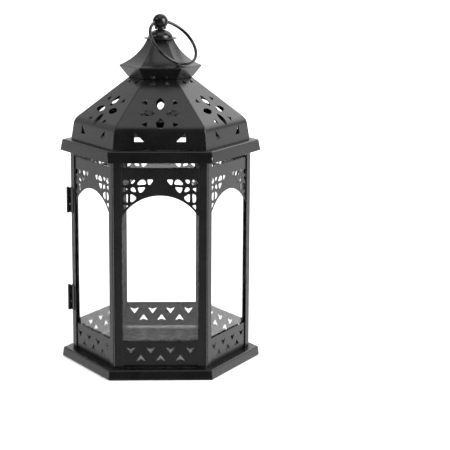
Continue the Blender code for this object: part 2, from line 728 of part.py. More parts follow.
def cap(mat):
    outer = cap_curve(7)
    inner = [(a, z) for a, z in reversed(inset_profile(outer, CAP_SHEET))]
    inner[0] = (CAP_TOP[0] - CAP_SHEET, CAP_TOP[1] - CAP_SHEET)
    rings = [(STUD_HOLE, CAP_TOP[1] - CAP_SHEET), *inner, *outer, (STUD_HOLE, CAP_TOP[1])]
    hex_piece("cap", rings, mat)


def disc(mat):
    top = DISC_BOTTOM + DISC_THICKNESS
    half = DISC_THICKNESS / 2
    profile = [
        (STUD_HOLE, DISC_BOTTOM),
        (DISC_RADIUS - half, DISC_BOTTOM),
        (DISC_RADIUS, DISC_BOTTOM + half),
        (DISC_RADIUS - half, top),
        (STUD_HOLE, top),
    ]
    turned_piece("finial_disc", profile, mat)


def dome(mat):
    height = DOME_TOP - DOME_BOTTOM
    rise = math.degrees(math.asin(DOME_MOUTH / DOME_RADIUS))
    quarter = arc((0, 0), DOME_RADIUS, 0, 90 - rise, 5)
    outer = [(x, DOME_BOTTOM + y * height / DOME_RADIUS) for x, y in quarter]
    inner = [(x - DOME_SHEET, DOME_BOTTOM + max(z - DOME_BOTTOM - DOME_SHEET, 0)) for x, z in reversed(outer)]
    turned_piece("finial_dome", outer + inner, mat)


def ball(mat):
    """Ball and bead turned in one, bored from below for the stud and drilled across for the ring."""
    foot = DOME_TOP + GAP
    bead_rise = foot - BEAD_HEIGHT
    bead_angle = math.degrees(math.asin(bead_rise / BEAD_RADIUS))
    apart = BALL_HEIGHT - BEAD_HEIGHT
    meet = (apart ** 2 + BEAD_RADIUS ** 2 - BALL_RADIUS ** 2) / (2 * apart)
    bead_end = math.degrees(math.asin(meet / BEAD_RADIUS))
    neck = BEAD_RADIUS * math.cos(math.radians(bead_end))
    ball_start = -math.degrees(math.acos(neck / BALL_RADIUS))
    bead = arc((0, BEAD_HEIGHT), BEAD_RADIUS, bead_angle, bead_end, 4)
    sphere = arc((0, BALL_HEIGHT), BALL_RADIUS, ball_start, 86, 8)[1:]
    bore_top = STUD_TOP + BORE_TIP[1]
    bore = [(BORE_TIP[0], bore_top), (STUD_HOLE, bore_top - BORE_TAPER), (STUD_HOLE, foot)]
    profile = [*bore, *bead, *sphere]
    piece = turned_piece("finial_ball", profile, mat, segments=24, closed=False)
    through = BALL_RADIUS + CROSS_HOLE
    hole = prism("cross_hole", circle((0, 0), CROSS_HOLE, 16), -through, through, mat)
    axis = Vector((math.cos(RING_AZIMUTH), math.sin(RING_AZIMUTH), 0))
    turn = axis.to_track_quat("Z", "Y").to_matrix().to_4x4()
    hole.matrix_world = Matrix.Translation((0, 0, BALL_HEIGHT)) @ turn
    boolean(piece, hole)


def stud_and_nut(mat):
    profile = [
        (STUD_RADIUS - STUD_CHAMFER, STUD_BOTTOM),
        (STUD_RADIUS, STUD_BOTTOM + STUD_CHAMFER),
        (STUD_RADIUS, STUD_TOP - STUD_CHAMFER),
        (STUD_RADIUS - STUD_CHAMFER, STUD_TOP),
    ]
    turned_piece("finial_stud", profile, mat, segments=12, closed=False)
    top = CAP_TOP[1] - CAP_SHEET - GAP
    bottom = top - NUT_HEIGHT
    profile = [(STUD_HOLE, bottom), (NUT_APOTHEM, bottom), (NUT_APOTHEM, top), (STUD_HOLE, top)]
    hex_piece("stud_nut", profile, mat)


def ring_handle(mat):
    """A round wire ring, hung through the ball; its origin is on the cross hole's axis."""
    across = Vector((math.cos(RING_AZIMUTH), math.sin(RING_AZIMUTH), 0))
    level = math.cos(RING_DROP)
    down = Vector((math.sin(RING_AZIMUTH) * level, -math.cos(RING_AZIMUTH) * level, -math.sin(RING_DROP)))
    mesh = bpy.data.meshes.new("ring_handle")
    work = bmesh.new()
    section = [(RING_WIRE * x, RING_WIRE * y) for x, y in circle((0, 0), 1, 8)]
    points = [work.verts.new((RING_RADIUS + x, 0, y)) for x, y in section]
    edges = [work.edges.new((points[k - 1], points[k])) for k in range(len(points))]
    turn_about = {"cent": (0, 0, 0), "axis": (0, 0, 1), "angle": math.tau}
    bmesh.ops.spin(work, geom=points + edges, steps=40, use_merge=True, **turn_about)
    bmesh.ops.remove_doubles(work, verts=work.verts, dist=0.01 * MM)
    bmesh.ops.recalc_face_normals(work, faces=work.faces)
    work.to_mesh(mesh)
    work.free()
    mesh.shade_smooth()
    turn = Matrix((across, down, across.cross(down))).transposed().to_4x4()
    centre = Matrix.Translation((0, RING_RADIUS - RING_SETTLE, 0))
    mesh.transform(centre)
    obj = link(bpy.data.objects.new("ring_handle", mesh), mat)
    obj.matrix_world = Matrix.Translation((0, 0, BALL_HEIGHT)) @ turn


def main():
    clear_scene()
    body = paint("body_paint", (0.022, 0.022, 0.024), 0.42)
    top = paint("roof_paint", (0.025, 0.025, 0.027), 0.36)
    hardware = paint("hardware_paint", (0.03, 0.03, 0.032), 0.34)
    glass = paint("window_glass", (0.93, 0.96, 0.95), 0.04, alpha=0.2)
    base_tray(body)
    for name, degrees in POSTS.items():
        corner_post(name, degrees, body)
    for name, degrees in FIXED_FACES.items():
        fixed_face(name, degrees, body, hardware, glass)
    cornice_ring(body)
    door(body, hardware, glass)
    door_hinges(hardware)
    latch_bracket(hardware)
    latch_loop(hardware)
    latch_keeper(hardware)
    roof(top)
    collar(top)
    cap(top)
    disc(top)
    dome(top)
    ball(top)
    stud_and_nut(hardware)
    ring_handle(hardware)


main()
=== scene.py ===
"""Looks of a hexagonal candle lantern of pierced sheet metal, fitted to its CAD nodes.

World frame: +Z up, front face towards -Y. A face is named by the compass angle of its outward
normal, and in a face's own frame x runs across it, y up it and z out of it. Lengths are in metres.
"""
import json
import math

import bmesh
import bpy
from mathutils import Matrix, Vector


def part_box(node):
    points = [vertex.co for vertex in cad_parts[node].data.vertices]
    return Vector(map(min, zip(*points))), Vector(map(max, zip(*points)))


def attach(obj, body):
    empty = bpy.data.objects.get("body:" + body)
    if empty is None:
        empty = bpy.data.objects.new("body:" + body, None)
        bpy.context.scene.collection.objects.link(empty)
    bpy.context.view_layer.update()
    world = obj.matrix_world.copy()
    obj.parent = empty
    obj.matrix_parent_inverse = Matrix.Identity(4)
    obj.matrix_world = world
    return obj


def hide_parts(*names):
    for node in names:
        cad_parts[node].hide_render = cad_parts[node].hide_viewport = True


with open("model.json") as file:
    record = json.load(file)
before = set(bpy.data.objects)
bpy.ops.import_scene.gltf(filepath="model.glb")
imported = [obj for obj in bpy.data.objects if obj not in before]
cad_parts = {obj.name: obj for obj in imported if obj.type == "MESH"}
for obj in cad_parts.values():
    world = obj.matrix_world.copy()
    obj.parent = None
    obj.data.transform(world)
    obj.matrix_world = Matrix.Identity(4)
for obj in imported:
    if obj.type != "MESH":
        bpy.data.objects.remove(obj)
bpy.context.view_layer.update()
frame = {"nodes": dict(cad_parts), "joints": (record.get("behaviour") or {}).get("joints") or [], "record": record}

MM = 0.001
MERGE = 0.002 * MM                      # points closer than this are one point
COS30 = math.cos(math.radians(30))
TAN30 = math.tan(math.radians(30))
FACES = {"front": 270, "right_front": 330, "right_back": 30, "back": 90, "left_front": 210}
POSTS = {
    "right": 0, "back_right": 60, "back_left": 120,
    "left": 180, "front_left": 240, "front_right": 300,
}
DOOR_NORMAL = 150
SWAP_Y_AND_Z = Matrix(((1, 0, 0, 0), (0, 0, 1, 0), (0, 1, 0, 0), (0, 0, 0, 1)))

RECORD = frame["record"]
JOINTS = {joint["name"]: joint for joint in frame["joints"]}
BODY_OF = {node: body for body, nodes in RECORD["behaviour"]["bodies"].items() for node in nodes}
SLOT_OF = {part["node"]: part["material_slot"] for part in RECORD["subparts"]}

# Folded trays
TRAY_SHEET = 1.2 * MM
TRAY_BEND = 2.2 * MM
TRAY_EDGE = 0.2 * MM                    # rounding of the sheet's cut edges
TOP_RUN = 8 * MM                        # flat sheet inside a tray's upper bend
BASE_LEAN = 1.75 * MM                   # how far a flank leans in on its way up
CORNICE_LEAN = 2.6 * MM
BASE_HEM = 6 * MM
BASE_SLIT = (0.3 * MM, 0.9 * MM)        # width of a corner's open mitre, at its top and its bottom
CORNICE_SLIT = (0.6 * MM, 1.5 * MM)
CORNICE_OPENING = 76.2 * MM

# Posts and plates
PLATE_SHEET = 0.6 * MM
POST_BEND = 5 * MM
POST_SHEET = 1 * MM
POST_FLANGE = 11 * MM
POST_EDGE = 0.22 * MM
PUNCHED_EDGE = 0.13 * MM                # rounding of a stamped edge
ARCH_TOP = 229.8 * MM
ARCH_HALF_WIDTH = 46 * MM
SPRING = 204.5 * MM                     # height of the arches' feet
SILL_TOP = 47.3 * MM
DOOR_HALF_WINDOW = 43.6 * MM
DOOR_CORNER = 1.2 * MM

CHANNEL_DEPTH = 2.8 * MM
CHANNEL_SHEET = 0.4 * MM
CHANNEL_LEG = 3.4 * MM                  # height of the bottom channel over its CAD foot
CHANNEL_SKIRT = 4 * MM                  # how far it reaches lower than its CAD foot
BACK_SKIRT = 0.6 * CHANNEL_SKIRT
DOOR_SKIRT = 0.7 * CHANNEL_SKIRT
CHANNEL_HALF_OPENING = 46.4 * MM
DOOR_CHANNEL_HALF_OPENING = 42.4 * MM
CHANNEL_EDGE = 0.15 * MM
GLASS_THICKNESS = 1.6 * MM
GLASS_EDGE = 0.25 * MM

CHEVRON_PITCH = 24.5 * MM
CHEVRON_HALF_WIDTH = 6.1 * MM
CHEVRON_HEIGHT = 8.4 * MM
CHEVRON_NOTCH = 2.5 * MM
CHEVRON_CORNER = 0.35 * MM
UPPER_CHEVRON_TOP = 39.6 * MM
LOWER_CHEVRON_BOTTOM = 21.3 * MM

# Roof, collar and cap. A point is (apothem, height).
ROOF_TOP = (30.2 * MM, 367.9 * MM)
ROOF_CORNER = (94.5 * MM, 311.2 * MM)
ROOF_FOOT = (98.1 * MM, 285.6 * MM)
ROOF_BEND = 16 * MM
ROOF_SHEET = 0.6 * MM
ROOF_RIDGE = 1.8 * MM                   # radius of the ridges between the slopes
INNER_RIDGE = 0.6                       # an inner ridge's radius over its outer one's
COLLAR_FOOT = (35.4 * MM, 364.6 * MM)
COLLAR_TOP = (44.6 * MM, 377.8 * MM)
COLLAR_RIM = (0.4 * MM, 0.9 * MM)       # how far the rim stands out and up from the collar's top
COLLAR_BEND = 0.8 * MM
COLLAR_RIDGE = 1.2 * MM
CAP_LIP = (45 * MM, 379.2 * MM)
CAP_TOP = (14.6 * MM, 411.9 * MM)
CAP_ARC = 58 * MM
CAP_SHEET = 0.9 * MM
COLLAR_SHEET = 1.2 * CAP_SHEET
CAP_CROWN = 0.05 * MM                   # rise of the flat top over the slopes' ends
CROWN_BEND = 1 * MM                     # width over which that rise is made
LIP_DROP = 0.1 * MM                     # how far the lip's unrounded corner stands out and down
CAP_HOLE = 2.6 * MM
CAP_NOSE = 0.5 * MM                     # radius of the lip's edge
CAP_RIDGES = (1.2 * MM, 3 * MM)         # ridge radii at the lip and the top

# Cut-outs of the roof. A dart's points are in millimetres, across its face and up or down it.
FLOWER_DOWN_SLOPE = 61.5 * MM
PETAL_START = 6.3 * MM
PETAL_LENGTH = 19.2 * MM
PETAL_WIDTH = 10 * MM
SIDE_DART = ((23, 17.2), (15.6, 14), (16.2, 21.6))     # from the flower's middle
TOP_DART = ((8.8, -6.6), (12.9, 0), (4.7, 0))          # from its own base line
TOP_DARTS_APART = 47 * MM                              # from the flower's middle to that line
SKIRT_DART = ((31, 295.4), (19.5, 295.4), (30.8, 306.6))
SIDE_DART_CORNER = 0.15 * MM
DART_CORNER = 0.4 * MM
SLOPE_CUT = (-7 * MM, 7 * MM)                          # levels between which a cut-out is cut
SKIRT_CUT = (85 * MM, 105 * MM)

# Hinges and latch
HARDWARE_EDGE = 0.16 * MM
KNUCKLE_BORE = 1.15 * MM
KNUCKLE_RADIUS = 2.2 * MM
KNUCKLE_SPLITS = (10.5 * MM, 21.5 * MM)
KNUCKLE_PLAY = 0.2 * MM
KNUCKLE_TAIL = 3.6 * MM
LEAF_START = 3 * MM
LEAF_REACH = 10.6 * MM
LEAF_SHEET = 0.96 * MM
LEAF_CORNER = 0.9 * MM
PIN_RADIUS = 0.85 * MM
PIN_HEAD = 0.8 * MM
PIN_HEAD_RADIUS = KNUCKLE_BORE + (KNUCKLE_RADIUS - KNUCKLE_BORE) * 0.7
LATCH_WIRE = 1 * MM
LOOP_CORNER = 2.2 * MM
STRAP_SHEET = 0.95 * MM
STRAP_CORNER = 1.5 * MM
ROLL_SHEET = 0.85 * MM
ROLL_PLAY = 0.1 * MM
ROLL_TAIL = 4 * MM
ROLL_HALF_LENGTH = 3.2 * MM
KEEPER_SHEET = 0.8 * MM
KEEPER_START = -47.5 * MM
KEEPER_BEND = -58.5 * MM
KEEPER_TAB = 7 * MM
KEEPER_BEND_RADIUS = 1.3 * MM

# Finial and ring
RING_WIRE = 1.95 * MM
RING_STEPS = 160
STUD_HOLE = 2.5 * MM
STUD_HOLE_DEPTH = 5 * MM
DOME_MOUTH = 3.5 * MM
DOME_SHEET = 1 * MM
BEAD_RADIUS = 7.3 * MM
BEAD_HEIGHT = 425.8 * MM
CROSS_HOLE = 2.85 * MM
CROSS_HOLE_FLARE = 1.2
CROSS_HOLE_STRAIGHT = 0.88              # share of the ball's radius that the hole runs straight


# ---- building blocks ----

def face_matrix(degrees, apothem=0.0):
    """A face's own frame, with its origin moved out from the lantern's axis by the apothem."""
    angle = math.radians(degrees)
    out = Vector((math.cos(angle), math.sin(angle), 0))
    across = Vector((-math.sin(angle), math.cos(angle), 0))
    turn = Matrix((across, Vector((0, 0, 1)), out)).transposed().to_4x4()
    return Matrix.Translation(out * apothem) @ turn


def face_box(node, degrees):
    """The lowest and highest corners of a CAD node in a face's own frame."""
    back = face_matrix(degrees).inverted()
    points = [back @ v.co for v in frame["nodes"][node].data.vertices]
    low = Vector([min(p[k] for p in points) for k in range(3)])
    high = Vector([max(p[k] for p in points) for k in range(3)])
    return low, high


def new_object(name, data):
    obj = bpy.data.objects.new(name, data)
    bpy.context.scene.collection.objects.link(obj)
    return obj


def mesh_object(name, points, faces, matrix=None):
    mesh = bpy.data.meshes.new(name)
    mesh.from_pydata([tuple(p) for p in points], [], faces)
    if matrix is not None:
        mesh.transform(matrix)
    mesh.update()
    return new_object(name, mesh)


def tidy_mesh(obj):
    """Doubled and loose points are taken away, and every face is turned outwards."""
    work = bmesh.new()
    work.from_mesh(obj.data)
    bmesh.ops.remove_doubles(work, verts=work.verts, dist=MERGE)
    loose = [v for v in work.verts if not v.link_faces]
    bmesh.ops.delete(work, geom=loose, context="VERTS")
    bmesh.ops.recalc_face_normals(work, faces=work.faces)
    work.to_mesh(obj.data)
    work.free()
    return obj


def soften(obj, bevel=0.0, angle=35, segments=2):
    """Smooth shading with sharp edges kept, and the sharp edges rounded over."""
    obj.data.shade_smooth()
    obj.data.set_sharp_from_angle(angle=math.radians(angle))
    if bevel:
        rounding = obj.modifiers.new("edges", "BEVEL")
        rounding.width = bevel
        rounding.segments = segments
        rounding.limit_method = "ANGLE"
        rounding.angle_limit = math.radians(angle)
        rounding.harden_normals = True
    weighted = obj.modifiers.new("normals", "WEIGHTED_NORMAL")
    weighted.keep_sharp = True
    return obj


def as_piece(obj, node):
    """The object stands for the CAD node: same body, same slot, same paint."""
    obj.data.materials.clear()
    obj.data.materials.append(PAINTS[SLOT_OF[node]])
    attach(obj, BODY_OF[node])
    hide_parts(node)


def baked(obj):
    """The object with its modifiers or curve settings turned into a plain mesh."""
    bpy.context.view_layer.update()
    evaluated = obj.evaluated_get(bpy.context.evaluated_depsgraph_get())
    mesh = bpy.data.meshes.new_from_object(evaluated)
    mesh.transform(obj.matrix_world)
    name = obj.name
    bpy.data.objects.remove(obj, do_unlink=True)
    return new_object(name, mesh)


def join(name, objects):
    """One object with all the meshes. The given objects are used up."""
    points, faces = [], []
    for obj in objects:
        start = len(points)
        points += [obj.matrix_world @ v.co for v in obj.data.vertices]
        faces += [[start + i for i in f.vertices] for f in obj.data.polygons]
        bpy.data.objects.remove(obj, do_unlink=True)
    return mesh_object(name, points, faces)


def loft(rings, closed):
    """Faces between equal rings of points, capped at both ends unless the rings close on themselves."""
    count = len(rings[0])
    points = [p for ring in rings for p in ring]
    faces = []
    for k in range(len(rings) if closed else len(rings) - 1):
        low, high = k * count, ((k + 1) % len(rings)) * count
        for i in range(count):
            j = (i + 1) % count
            faces.append((low + i, low + j, high + j, high + i))
    if not closed:
        faces.append(tuple(reversed(range(count))))
        faces.append(tuple(range((len(rings) - 1) * count, len(rings) * count)))
    return points, faces


def arc(centre, radius, start, end, steps):
    angles = [math.radians(start + (end - start) * k / steps) for k in range(steps + 1)]
    return [(centre[0] + radius * math.cos(a), centre[1] + radius * math.sin(a)) for a in angles]


def arc_through(middle, first, last, steps):
    """An arc round the middle, the short way from the first point towards the last."""
    start = first - middle
    spokes = (start.normalized(), (last - middle).normalized())
    turns = [spokes[0].slerp(spokes[1], k / steps) * start.length for k in range(steps + 1)]
    return [tuple(middle + turn) for turn in turns]


def fillet(before, corner, after, radius, steps):
    """A round bend in place of a corner, no longer than 0.48 of either neighbouring run."""
    before, corner, after = Vector(before), Vector(corner), Vector(after)
    one, two = before - corner, after - corner
    half = one.angle(two) / 2
    reach = min(radius / math.tan(half), 0.48 * one.length, 0.48 * two.length)
    radius = reach * math.tan(half)
    middle = corner + (one.normalized() + two.normalized()).normalized() * radius / math.sin(half)
    return arc_through(middle, corner + one.normalized() * reach, corner + two.normalized() * reach, steps)


def rounded(outline, radius, steps=3):
    """A closed outline with every corner rounded."""
    count = len(outline)
    line = []
    for k, corner in enumerate(outline):
        line += fillet(outline[k - 1], corner, outline[(k + 1) % count], radius, steps)
    return line


def bent(path, radius, steps=6):
    """An open path with its inner corners rounded."""
    line = [path[0]]
    for k in range(1, len(path) - 1):
        line += fillet(path[k - 1], path[k], path[k + 1], radius, steps)
    return line + [path[-1]]


def offset_line(line, distance):
    """The open line moved to its left."""
    moved = []
    for k, point in enumerate(line):
        before, after = Vector(line[max(k - 1, 0)]), Vector(line[min(k + 1, len(line) - 1)])
        run = (after - before).normalized()
        moved.append((point[0] - run.y * distance, point[1] + run.x * distance))
    return moved


def ccw(outline):
    """The outline in counter-clockwise order."""
    area = sum(a[0] * b[1] - b[0] * a[1] for a, b in zip(outline, outline[1:] + outline[:1]))
    return outline if area > 0 else outline[::-1]


def prism(name, outline, low, high, matrix=None):
    """The outline, as (x, y), drawn out along z between two levels."""
    line = ccw(outline)
    points, faces = loft([[(x, y, low) for x, y in line], [(x, y, high) for x, y in line]], False)
    return mesh_object(name, points, faces, matrix)


def rectangle(left, right, low, high):
    return [(left, low), (right, low), (right, high), (left, high)]


def turned(name, profile, segments=48, closed=True, matrix=None):
    """A (radius, height) profile turned round the Z axis."""
    turns = [math.tau * i / segments for i in range(segments)]
    points, faces = loft([[(r * math.cos(t), r * math.sin(t), z) for t in turns] for r, z in profile], closed)
    return tidy_mesh(mesh_object(name, points, faces, matrix))


def hex_ring(apothem, height, ridge, steps=4):
    """A hexagon whose corners are rounded, by no more than 0.9 of its apothem."""
    radius = min(ridge, 0.9 * apothem)
    away = (apothem - radius) / COS30
    ring = []
    for corner in range(0, 360, 60):
        a = math.radians(corner)
        centre = (away * math.cos(a), away * math.sin(a))
        ring += [(x, y, height) for x, y in arc(centre, radius, corner - 30, corner + 30, steps)]
    return ring


def hex_shell(name, outer, inner, ridge_at):
    """A six-sided shell between two (apothem, height) lines, with ridges as round as each height asks."""
    rings = [hex_ring(a, z, ridge_at(z)) for a, z in outer]
    rings += [hex_ring(a, z, ridge_at(z) * INNER_RIDGE) for a, z in reversed(inner)]
    points, faces = loft(rings, True)
    return tidy_mesh(mesh_object(name, points, faces))


def punched(name, outline, holes, degrees, low, high):
    """A stamped sheet between two levels of a face's own z, with its cut edges rounded over."""
    curve = bpy.data.curves.new(name, "CURVE")
    curve.dimensions = "2D"
    curve.fill_mode = "BOTH"
    curve.bevel_depth = PUNCHED_EDGE
    curve.bevel_resolution = 1
    curve.offset = -PUNCHED_EDGE
    curve.extrude = (high - low) / 2 - PUNCHED_EDGE
    for line in [outline, *holes]:
        spline = curve.splines.new("POLY")
        spline.points.add(len(line) - 1)
        spline.points.foreach_set("co", [c for x, y in line for c in (x, y, 0, 1)])
        spline.use_cyclic_u = True
    obj = new_object(name, curve)
    obj.matrix_world = face_matrix(degrees, (low + high) / 2)
    return soften(tidy_mesh(baked(obj)), angle=50)


def wire_loop(name, path, radius, resolution=5):
    """A round wire along a closed path."""
    curve = bpy.data.curves.new(name, "CURVE")
    curve.dimensions = "3D"
    curve.bevel_depth = radius
    curve.bevel_resolution = resolution
    spline = curve.splines.new("POLY")
    spline.points.add(len(path) - 1)
    spline.points.foreach_set("co", [c for p in path for c in (*p, 1)])
    spline.use_cyclic_u = True
    obj = tidy_mesh(baked(new_object(name, curve)))
    obj.data.shade_smooth()
    return obj


# ---- materials ----

SHEET_BLACK = (0.0018, 0.0018, 0.0019)
HARDWARE_BLACK = (0.0024, 0.0024, 0.0025)
PAINT_LIFT = 1.8                        # the lighter patches are this many times as light ...
PAINT_BASE = 0.0004                     # ... and this much more
PAINT_IOR = 1.48
GLOSS_CLOUD = (-0.012, 0.018)           # least and most that the clouds add to the roughness
GRAIN = 0.02
WAVE_DEPTH = 0.08 * MM
WAVE_SHARE = 0.3                        # the slow wave's strength over the fine peel's
PEEL_DEPTH = 0.01 * MM
DUST = (0.30, 0.29, 0.27)
DUST_AMOUNT = 0.015
GLASS_SMEAR = 0.03
GLASS_TINTS = ((0.965, 0.975, 0.97), (0.985, 0.99, 0.985))
GLASS_IOR = 1.46
PAPER_TONES = ((0.93, 0.93, 0.93), (0.95, 0.95, 0.95))
PAPER_ROUGHNESS = 0.9


class Nodes:
    """Short calls for a node tree."""

    def __init__(self, tree):
        self.tree = tree

    def add(self, kind, **settings):
        node = self.tree.nodes.new("ShaderNode" + kind)
        for key, value in settings.items():
            setattr(node, key, value)
        return node

    def link(self, source, target):
        self.tree.links.new(source, target)


class MaterialNodes(Nodes):
    """Short calls for one material's patterns, which follow the object's own coordinates."""

    def __init__(self, name):
        self.mat = bpy.data.materials.new(name)
        self.mat.use_nodes = True
        super().__init__(self.mat.node_tree)
        self.shader = self.tree.nodes["Principled BSDF"]
        self.place = self.add("TexCoord").outputs["Object"]

    def noise(self, scale, detail=3.0, rough=0.5, stretch=None):
        node = self.add("TexNoise")
        node.inputs["Scale"].default_value = scale
        node.inputs["Detail"].default_value = detail
        node.inputs["Roughness"].default_value = rough
        source = self.place
        if stretch:
            mapping = self.add("Mapping")
            mapping.inputs["Scale"].default_value = stretch
            self.link(source, mapping.inputs["Vector"])
            source = mapping.outputs["Vector"]
        self.link(source, node.inputs["Vector"])
        return node.outputs["Fac"]

    def remap(self, source, low, high, to_low, to_high):
        node = self.add("MapRange")
        for key, value in (("From Min", low), ("From Max", high), ("To Min", to_low), ("To Max", to_high)):
            node.inputs[key].default_value = value
        self.link(source, node.inputs["Value"])
        return node.outputs["Result"]

    def math(self, operation, one, two):
        node = self.add("Math", operation=operation)
        for socket, value in zip(node.inputs, (one, two)):
            if isinstance(value, (int, float)):
                socket.default_value = value
            else:
                self.link(value, socket)
        return node.outputs["Value"]

    def mix(self, factor, one, two):
        node = self.add("Mix", data_type="RGBA")
        for name, value in (("A", one), ("B", two)):
            socket = [s for s in node.inputs if s.name == name and s.type == "RGBA"][0]
            if isinstance(value, tuple):
                socket.default_value = (*value, 1)
            else:
                self.link(value, socket)
        self.link(factor, node.inputs["Factor"])
        return [s for s in node.outputs if s.type == "RGBA"][0]

    def bump(self, height, strength, distance, before=None):
        node = self.add("Bump")
        node.inputs["Strength"].default_value = strength
        node.inputs["Distance"].default_value = distance
        self.link(height, node.inputs["Height"])
        if before is not None:
            self.link(before, node.inputs["Normal"])
        return node.outputs["Normal"]


def black_paint(name, colour, roughness, peel):
    """Sprayed black paint: slow orange peel, fine grain, cloudy gloss, and a little dust on what faces up."""
    n = MaterialNodes(name)
    lighter = tuple(PAINT_LIFT * c + PAINT_BASE for c in colour)
    base = n.mix(n.remap(n.noise(38, 4), 0.35, 0.7, 0, 1), colour, lighter)
    up = n.add("SeparateXYZ")
    n.link(n.add("NewGeometry").outputs["Normal"], up.inputs["Vector"])
    facing_up = n.remap(up.outputs["Z"], 0.55, 1.0, 0.0, DUST_AMOUNT)
    dust = n.math("MULTIPLY", n.remap(n.noise(420, 5, 0.65), 0.42, 0.72, 0, 1), facing_up)
    n.link(n.mix(dust, base, DUST), n.shader.inputs["Base Color"])
    cloud = n.remap(n.noise(70, 3), 0.3, 0.7, roughness + GLOSS_CLOUD[0], roughness + GLOSS_CLOUD[1])
    grain = n.remap(n.noise(2600, 2), 0.3, 0.7, -GRAIN, GRAIN)
    n.link(n.math("ADD", cloud, grain), n.shader.inputs["Roughness"])
    wave = n.bump(n.noise(70, 2), WAVE_SHARE * peel, WAVE_DEPTH)
    n.link(n.bump(n.noise(1500, 3), peel, PEEL_DEPTH, wave), n.shader.inputs["Normal"])
    n.shader.inputs["IOR"].default_value = PAINT_IOR
    return n.mat


def window_glass(name):
    """Clear float glass with faint wipe marks and uneven, slightly greenish clearness."""
    n = MaterialNodes(name)
    smear = n.remap(n.noise(16, 4, 0.6, (1, 1, 0.35)), 0.45, 0.75, 0.0, GLASS_SMEAR)
    n.link(smear, n.shader.inputs["Roughness"])
    tint = n.mix(n.remap(n.noise(9, 2), 0.3, 0.7, 0, 1), *GLASS_TINTS)
    n.link(tint, n.shader.inputs["Base Color"])
    n.shader.inputs["Transmission Weight"].default_value = 1.0
    n.shader.inputs["IOR"].default_value = GLASS_IOR
    return n.mat


def paper_floor(name):
    """Matt white paper, a little uneven."""
    n = MaterialNodes(name)
    tone = n.mix(n.remap(n.noise(3, 3), 0.3, 0.7, 0, 1), *PAPER_TONES)
    n.link(tone, n.shader.inputs["Base Color"])
    n.shader.inputs["Roughness"].default_value = PAPER_ROUGHNESS
    n.shader.inputs["Specular IOR Level"].default_value = 0.0
    return n.mat


PAINTS = {
    "body_paint": black_paint("body_paint_look", SHEET_BLACK, roughness=0.27, peel=0.25),
    "roof_paint": black_paint("roof_paint_look", SHEET_BLACK, roughness=0.26, peel=0.25),
    "hardware_paint": black_paint("hardware_paint_look", HARDWARE_BLACK, roughness=0.22, peel=0.12),
    "window_glass": window_glass("window_glass_look"),
}


# ---- folded trays ----

def hexagon(apothem, height):
    away = apothem / COS30
    corners = [math.radians(degrees) for degrees in range(0, 360, 60)]
    return [(away * math.cos(c), away * math.sin(c), height) for c in corners]


def hexagon_band(one, two):
    """The faces between two hexagons, each given by the index of its first point."""
    return [(one + k, one + (k + 1) % 6, two + (k + 1) % 6, two + k) for k in range(6)]


def tray_flank(points, faces, lines, corner_gap, degrees):
    """One side of a tray from its flat rim to its end: two skins with closed sides and a closed end."""
    place = face_matrix(degrees)
    start, count = len(points), len(lines[0])
    for line in lines:
        for (apothem, height), (_, outer_height) in zip(line, lines[0]):
            half = apothem * TAN30 - corner_gap(outer_height)
            points += [place @ Vector((-half, height, apothem)), place @ Vector((half, height, apothem))]
    for k in range(count - 1):
        o, i = start + 2 * k, start + 2 * (count + k)
        faces += [(o, o + 2, o + 3, o + 1), (i, i + 1, i + 3, i + 2)]
        faces += [(o, i, i + 2, o + 2), (o + 1, o + 3, i + 3, i + 1)]
    o, i = start + 2 * (count - 1), start + 2 * (2 * count - 1)
    faces.append((o, i, i + 1, o + 1))


def tray_top(points, faces, lines, opening):
    """The two skins of the flat top, whole or with a hexagonal opening of the given apothem."""
    for line in lines:
        edge, height = line[0]
        start = len(points)
        points += hexagon(edge, height)
        if opening:
            points += hexagon(opening, height)
            faces += hexagon_band(start, start + 6)
        else:
            faces.append(tuple(range(start, start + 6)))
    if opening:
        faces += hexagon_band(len(points) - 6, len(points) - 18)


def folded_tray(name, profile, opening, slit):
    """A hexagonal sheet whose six sides fold down, with an open mitre at each corner.

    The profile runs from the flat top, round the bends, to the sheet's end, as (apothem, height).
    """
    lines = (profile, offset_line(profile, -TRAY_SHEET))
    top, bottom = profile[0][1], min(z for a, z in profile)

    def corner_gap(height):
        down = min(max((top - height) / (top - bottom), 0), 1)
        return 0 if height == top else (slit[0] + (slit[1] - slit[0]) * down) / 2

    points, faces = [], []
    for degrees in range(30, 390, 60):
        tray_flank(points, faces, lines, corner_gap, degrees)
    tray_top(points, faces, lines, opening)
    return soften(tidy_mesh(mesh_object(name, points, faces)), TRAY_EDGE)


def base_tray():
    low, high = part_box("base_tray")
    foot = high.x * COS30
    top = foot - BASE_LEAN
    path = [(top - TOP_RUN, high.z), (top, high.z), (foot, low.z), (foot - BASE_HEM, low.z)]
    as_piece(folded_tray("base_tray_form", bent(path, TRAY_BEND), 0, BASE_SLIT), "base_tray")


def cornice():
    low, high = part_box("cornice_ring")
    foot = high.x * COS30
    top = foot - CORNICE_LEAN
    path = [(top - TOP_RUN, high.z), (top, high.z), (foot, low.z)]
    shape = folded_tray("cornice_form", bent(path, TRAY_BEND), CORNICE_OPENING, CORNICE_SLIT)
    as_piece(shape, "cornice_ring")


# ---- body ----

def post_outline(outermost):
    """Section of the post at the right: a strip bent to 120 degrees round a vertical line."""
    corner = outermost + POST_BEND * (1 / COS30 - 1)
    centre = (corner - POST_BEND / COS30, 0)
    end = Vector((corner, 0)) + Vector((-0.5, COS30)) * POST_FLANGE
    inner_end = end - Vector((COS30, 0.5)) * POST_SHEET
    outer = arc(centre, POST_BEND, -30, 30, 10) + [tuple(end), tuple(inner_end)]
    inner = arc(centre, POST_BEND - POST_SHEET, 30, -30, 10)
    return outer + inner + [(inner_end.x, -inner_end.y), (end.x, -end.y)]


